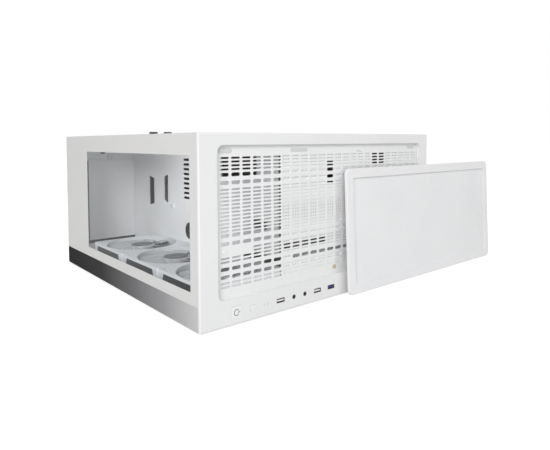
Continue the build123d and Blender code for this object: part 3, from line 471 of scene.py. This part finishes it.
# %% Give every CAD piece its finish
slot_of = {row["node"]: row["material_slot"] for row in frame["record"]["subparts"]}
for name, obj in nodes.items():
    obj.data.materials.clear()
    obj.data.materials.append(finish[slot_of[name]])
print(len(slot_of), "pieces finished with", len(set(slot_of.values())), "materials")

# %% [markdown]
# ## Surfaces from formulas
# The curved pieces are grids of points worked out with numpy: every row and column at once. One
# helper turns such a grid into faces. It can join the last row to the first, and the last
# column to the first, and it closes open ends with a fan of triangles round a pole.

# %% Grid helper


def grid_faces(rows, columns, wrap_rows=False, wrap_columns=False, start=0):
    """Quads of a rows x columns grid of points, as an array of four indices each."""
    last_row = rows if wrap_rows else rows - 1
    last_column = columns if wrap_columns else columns - 1
    i, j = np.meshgrid(np.arange(last_row), np.arange(last_column), indexing="ij")
    a = i * columns + j
    b = i * columns + (j + 1) % columns
    c = (i + 1) % rows * columns + (j + 1) % columns
    d = (i + 1) % rows * columns + j
    return np.stack([a, b, c, d], -1).reshape(-1, 4) + start


def make_piece(name, points, faces, body, slot, smooth=True, skin=None):
    """A mesh object from points and faces, riding on a body. Its finish is the slot's
    own unless skin names another."""
    mesh = bpy.data.meshes.new(name)
    mesh.from_pydata(points.tolist(), [], [list(f) for f in faces])
    mesh.validate()
    if smooth:
        mesh.shade_smooth()
    else:
        mesh.shade_flat()
    obj = bpy.data.objects.new(name, mesh)
    scene.collection.objects.link(obj)
    mesh.materials.append(finish[skin or slot])
    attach(obj, body)
    print(name, len(points), "points", len(faces), "faces")
    return obj


def middle(name):
    """The middle of a CAD node's box."""
    low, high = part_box(name)
    return (np.array(low) + np.array(high)) / 2


def turned(profile, around, bumps=None):
    """A solid of revolution about +Z: profile is (radius, height) rows, and each row is carried round a
    full circle in equal steps. bumps scales the radius by row and angle. Both ends close on a pole."""
    angle = np.linspace(0, 2 * np.pi, around, endpoint=False)
    radius = profile[:, :1] * (np.ones((1, around)) if bumps is None else bumps(profile, angle))
    height = np.repeat(profile[:, 1:], around, axis=1)
    ring = np.stack([radius * np.cos(angle), radius * np.sin(angle), height], -1).reshape(-1, 3)
    rows = len(profile)
    poles = np.array([[0, 0, profile[0, 1]], [0, 0, profile[-1, 1]]])
    points = np.vstack([ring, poles])
    walls = grid_faces(rows, around, wrap_columns=True)
    step = np.arange(around)
    after = (step + 1) % around
    base = np.stack([after, step, np.full(around, rows * around)], -1)
    top = np.stack([step, after, np.full(around, rows * around + 1)], -1) + \
        np.array([(rows - 1) * around, (rows - 1) * around, 0])
    return points, [list(f) for f in walls] + [list(f) for f in base] + [list(f) for f in top]


# %% [markdown]
# ## Fan rotors
# A fan blade is a thin curved sheet. It is swept back as it goes out, its pitch flattens
# towards the tip, and it is cambered along its chord. That is one formula in two
# parameters: how far out, and how far along the chord. Nine copies turn about the hub, which
# is a turned cap with a rounded shoulder and a shallow dish.

# %% Blade and hub formulas
BLADES = 9
HUB_RADIUS = 0.0210
TIP_RADIUS = 0.0552
CHORD_ROOT = 0.023
CHORD_TIP = 0.031
SINK = 0.0006           # how far a blade's root reaches into the hub
ROOT_PITCH = 42         # degrees
TIP_PITCH = 22
SWEEP = 0.55            # radians back at the tip
CAMBER = 0.0022
BLADE_THICKNESS = 0.0014


def blade(out_steps, chord_steps, thickness):
    """The closed skin of one blade. Out along the span v the radius runs from hub to tip. The chord at v lies
    at the pitch there, so along it u adds chord * cos(pitch) / radius to the sweep, which is SWEEP * v
    squared, and the height falls by chord * sin(pitch), with a camber of sin(pi u) on top. The two skins
    are thickness / 2 * sqrt(4 u (1 - u)) above and below that, which thins to nothing at the long edges."""
    v = np.linspace(0, 1, out_steps)[:, None]
    u = np.linspace(0, 1, chord_steps)[None, :]
    radius = (HUB_RADIUS - SINK) + (TIP_RADIUS - HUB_RADIUS + SINK) * v + 0 * u
    chord = CHORD_ROOT + (CHORD_TIP - CHORD_ROOT) * v
    pitch = np.radians(ROOT_PITCH - (ROOT_PITCH - TIP_PITCH) * v)
    angle = SWEEP * v ** 2 + (u - 0.5) * chord * np.cos(pitch) / radius
    height = (0.5 - u) * chord * np.sin(pitch) + CAMBER * np.sin(np.pi * u)
    skin = thickness / 2 * np.sqrt(np.clip(4 * u * (1 - u), 0, 1)) + 0 * v
    upper = np.stack([radius * np.cos(angle), radius * np.sin(angle), height + skin], -1)
    lower = np.stack([radius * np.cos(angle), radius * np.sin(angle), height - skin], -1)
    loop = np.concatenate([upper, lower[:, -2:0:-1]], axis=1)
    rows, columns = loop.shape[:2]
    faces = grid_faces(rows, columns, wrap_columns=True)[:, ::-1]
    ends = [list(range(columns)), list(range((rows - 1) * columns, rows * columns))[::-1]]
    return loop.reshape(-1, 3), [list(f) for f in faces] + ends


def copies_about_z(points, faces, count):
    """Equal copies about the Z axis in one mesh: copy n has its points turned by 2 pi n / count."""
    turn = np.arange(count) * 2 * np.pi / count
    c, s = np.cos(turn)[:, None], np.sin(turn)[:, None]
    x, y, z = points[:, 0], points[:, 1], points[:, 2]
    turned_points = np.stack([c * x - s * y, s * x + c * y, np.broadcast_to(z, (count, len(z)))], -1)
    all_faces = [[i + n * len(points) for i in f] for n in range(count) for f in faces]
    return turned_points.reshape(-1, 3), all_faces


blade_points, blade_faces = blade(14, 13, BLADE_THICKNESS)
blades, blades_faces = copies_about_z(blade_points, blade_faces, BLADES)
shoulder = np.linspace(0, np.pi / 2, 7)
hub_profile = np.vstack([
    [[HUB_RADIUS - 0.0008, -0.008], [HUB_RADIUS, -0.0072]],
    np.stack([HUB_RADIUS - 0.0015 + 0.0015 * np.cos(shoulder), 0.0065 + 0.0015 * np.sin(shoulder)], -1),
    [[HUB_RADIUS - 0.0030, 0.0080], [HUB_RADIUS - 0.0034, 0.0076], [0.004, 0.0076], [0.0035, 0.0078]]])
hub, hub_faces = turned(hub_profile, 72)
cap, cap_faces = turned(np.array([[0.0185, 0.0070], [0.0185, 0.0080], [0.0181, 0.0084], [0.006, 0.0084],
                                  [0.0055, 0.0082]]), 72)
print("blade", blade_points.shape, "hub", hub.shape, "cap", cap.shape)

# %% Rotors in place
for number in (1, 2, 3):
    body = f"rotor_{number}"
    centre = middle(f"fan_rotor_{number}")
    blades_here = make_piece(f"rotor_blades_{number}", blades + centre, blades_faces, body, "fan_plastic",
                             skin="blade_white")
    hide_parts(f"fan_rotor_{number}")
    make_piece(f"rotor_hub_{number}", hub + centre, hub_faces, body, "fan_plastic", skin="blade_white")
    make_piece(f"rotor_cap_{number}", cap + centre, cap_faces, body, "plate_grey", skin="hub_grey")

# %% [markdown]
# ## Knurled thumb knobs
# The cover's two knobs and the thumbscrew inside are turned steel with fine ridges to grip.
# The ridges are a cosine of the angle on the rows of the barrel alone, so one turned profile
# with a bump on its radius makes them.

# %% Knobs


def ridges(count, depth, low, high):
    """Radius factor 1 - depth * (1 - cos(count * angle)) / 2 on the rows between heights low and high."""
    def factor(profile, angle):
        inside = ((profile[:, 1] > low) & (profile[:, 1] < high))[:, None]
        return 1 - depth * inside * (1 - np.cos(count * angle)[None, :]) / 2
    return factor


def knob_profile(radius, height):
    """A plain foot, a waist, a ridged barrel and a dished top, bottom to top."""
    return np.array([
        [radius * 0.80, 0.0], [radius * 0.80, height * 0.16], [radius * 0.93, height * 0.18],
        [radius, height * 0.26], [radius, height * 0.40], [radius, height * 0.60], [radius, height * 0.82],
        [radius * 0.96, height * 0.95], [radius * 0.88, height], [radius * 0.60, height],
        [radius * 0.55, height * 0.94], [radius * 0.18, height * 0.94]])


knob_low, knob_high = (np.array(c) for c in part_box("cover_knobs"))
cover_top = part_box("top_cover")[1][2]
knob_radius = (knob_high[1] - knob_low[1]) / 2
knob_height = knob_high[2] - cover_top
knob_depth_middle = (knob_low[1] + knob_high[1]) / 2
knob, knob_faces = turned(knob_profile(knob_radius, knob_height), 240,
                          ridges(40, 0.07, knob_height * 0.2, knob_height * 0.9))
for side, x in (("left", knob_low[0] + knob_radius), ("right", knob_high[0] - knob_radius)):
    knob_here = make_piece(f"cover_knob_{side}", knob + [x, knob_depth_middle, cover_top], knob_faces,
                           "cover", "black_steel")
    if side == "left":
        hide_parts("cover_knobs")

# %% Thumbscrew inside the chamber
screw_low, screw_high = (np.array(c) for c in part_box("rear_thumbscrew"))
head_radius = (screw_high[0] - screw_low[0]) / 2
head_length = 0.0070
head, head_faces = turned(knob_profile(head_radius, head_length), 180,
                          ridges(30, 0.08, head_length * 0.2, head_length * 0.9))
facing_front = np.stack([head[:, 0], -head[:, 2], head[:, 1]], -1)
screw_middle = (screw_low + screw_high) / 2
head_seat = [screw_middle[0], screw_low[1] + head_length, screw_middle[2]]
thumb = make_piece("rear_thumb_head", facing_front + head_seat, head_faces, "case", "black_steel")
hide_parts("rear_thumbscrew")

# %% [markdown]
# ## The sign on the power key
# A broken ring with a bar in its gap is the usual sign for on and off. It is printed, so it
# is a very low strip: a line along an arc and a straight line, each with a thin rounded
# section carried along it. The sign lies on its side, because the box also stands upright.

# %% Power sign
FLATNESS = 0.4


def carried(path, normal, radius, around=8):
    """A strip along a flat path. Each section is an ellipse in the plane of the normal and of the direction
    sideways, which is the normal crossed with the tangent: radius wide, and FLATNESS times that high."""
    tangent = np.gradient(path, axis=0)
    tangent /= np.linalg.norm(tangent, axis=1, keepdims=True)
    side = np.cross(normal, tangent)
    angle = np.linspace(0, 2 * np.pi, around, endpoint=False)
    ring = radius * (np.cos(angle)[None, :, None] * side[:, None, :] +
                     FLATNESS * np.sin(angle)[None, :, None] * np.array(normal)[None, None, :])
    points = (path[:, None, :] + ring).reshape(-1, 3)
    rows = len(path)
    caps = [list(range(around))[::-1], list(range((rows - 1) * around, rows * around))]
    return points, [list(f) for f in grid_faces(rows, around, wrap_columns=True)] + caps


SIGN_RADIUS = 0.0036
SIGN_LINE = 0.0005      # half the width of a line
SIGN_SINK = 0.00008     # how far the line's middle lies in the key
key_middle = middle("power_button")
sweep = np.radians(np.linspace(35, 325, 49))
ring = np.stack([SIGN_RADIUS * np.cos(sweep), 0 * sweep, SIGN_RADIUS * np.sin(sweep)], -1)
bar = np.stack([np.linspace(0.0014, 0.0050, 9), np.zeros(9), np.zeros(9)], -1)
key_face = [key_middle[0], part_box("power_button")[0][1] + SIGN_SINK, key_middle[2]]
for label, line in (("ring", ring), ("bar", bar)):
    sign_points, sign_faces = carried(line + key_face, (0, -1, 0), SIGN_LINE)
    make_piece(f"power_sign_{label}", sign_points, sign_faces, "power_key", "dark_plastic")

# %% [markdown]
# ## Dark sheets behind the vents
# A thin dark sheet is stretched inside the back and inside the right panel, behind their vents,
# so that no light comes straight through the case. Seen through the vents, its dark colour is painted shade.

# %% Painted shade sheets behind the vents
PANEL_SKIN = 0.0012
SHEET_THICKNESS = 0.0004
SHEET_GAP = 0.0002
REAR_SHEET_X = (-0.017, 0.091)
REAR_SHEET_Z = (0.086, 0.198)
RIGHT_SHEET_Y = (-0.100, 0.100)
RIGHT_SHEET_Z = (0.080, 0.160)
BOX_FACES = [(0, 1, 3, 2), (4, 6, 7, 5), (0, 4, 5, 1), (2, 3, 7, 6), (0, 2, 6, 4), (1, 5, 7, 3)]


def slab(low, high):
    """The corners of a box, x first and z last, in the order that BOX_FACES names them."""
    return np.array([[x, y, z] for x in (low[0], high[0]) for y in (low[1], high[1])
                     for z in (low[2], high[2])])


rear_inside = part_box("rear_panel")[1][1] - PANEL_SKIN - SHEET_GAP
right_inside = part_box("right_panel")[1][0] - PANEL_SKIN - SHEET_GAP
# Each sheet is dark moulding put where there is only shade behind the vents: painted shade.
shade_sheets = {
    "rear_dust_cloth": ((REAR_SHEET_X[0], rear_inside - SHEET_THICKNESS, REAR_SHEET_Z[0]),
                        (REAR_SHEET_X[1], rear_inside, REAR_SHEET_Z[1])),
    "right_dust_cloth": ((right_inside - SHEET_THICKNESS, RIGHT_SHEET_Y[0], RIGHT_SHEET_Z[0]),
                         (right_inside, RIGHT_SHEET_Y[1], RIGHT_SHEET_Z[1])),
}
for name, (low, high) in shade_sheets.items():
    make_piece(name, slab(low, high), BOX_FACES, "case", "dark_plastic", smooth=False)

# %% [markdown]
# ## The floor
# A pale floor takes the object's shadow. What the camera sees of it is lifted a little by a
# Light Path, so that it runs into the white backdrop with no line between them, and
# the shadow beside the box stays.

# %% Floor
REACH = 14.0
FLOOR_LEVEL = -0.0002   # just clear of the feet
FLOOR_LIFT = 0.63
floor_mesh = bpy.data.meshes.new("studio_floor")
floor_mesh.from_pydata([(x * REACH, y * REACH, FLOOR_LEVEL) for x, y in ((-1, -1), (1, -1), (1, 1), (-1, 1))],
                       [], [(0, 1, 2, 3)])
floor = bpy.data.objects.new("studio_floor", floor_mesh)
scene.collection.objects.link(floor)
paper, tree = bare_material("floor_paper")
lift = add(tree, "Math", operation="MULTIPLY")
lift.inputs[1].default_value = FLOOR_LIFT
matt = add(tree, "BsdfDiffuse", Color=rgb(0.75, 0.75, 0.75))
glow = add(tree, "Emission", Color=rgb(1, 1, 1))
both = add(tree, "AddShader")
end = add(tree, "OutputMaterial")
chain(tree, (shown_rays(tree), 0, lift, 0), (lift, 0, glow, "Strength"), (matt, 0, both, 0),
      (glow, 0, both, 1), (both, 0, end, "Surface"))
floor_mesh.materials.append(paper)
print("floor", REACH * 2, "m wide")
